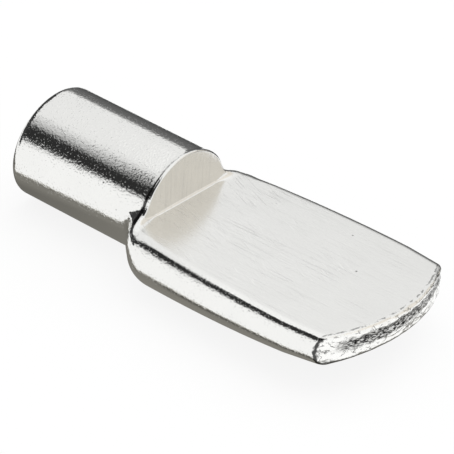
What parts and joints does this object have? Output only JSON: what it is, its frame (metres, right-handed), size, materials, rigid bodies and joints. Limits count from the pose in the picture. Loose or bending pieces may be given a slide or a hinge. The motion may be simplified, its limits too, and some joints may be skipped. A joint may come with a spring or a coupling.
{
  "type": "shelf support pin",
  "caption": "Spoon-type shelf support: a round pin that plugs into a drilled hole in the cabinet's side, with a flat pressed seat that the shelf rests on.",
  "frame": {"origin": "on the pin's axis, where the back of the shoulders stops against the cabinet's side", "axes": "+X along the pin's axis towards the tip of the spoon, +Z out of the flat seat, +Y across the seat"},
  "size_m": [0.0188, 0.0082, 0.005],
  "materials": {
    "nickel": "bright nickel plate over steel, with fine scratches, small pits and a ragged sheared tip"
  },
  "bodies": {
    "root": {"shelf_pin": "nickel"}
  },
  "joints": []
}
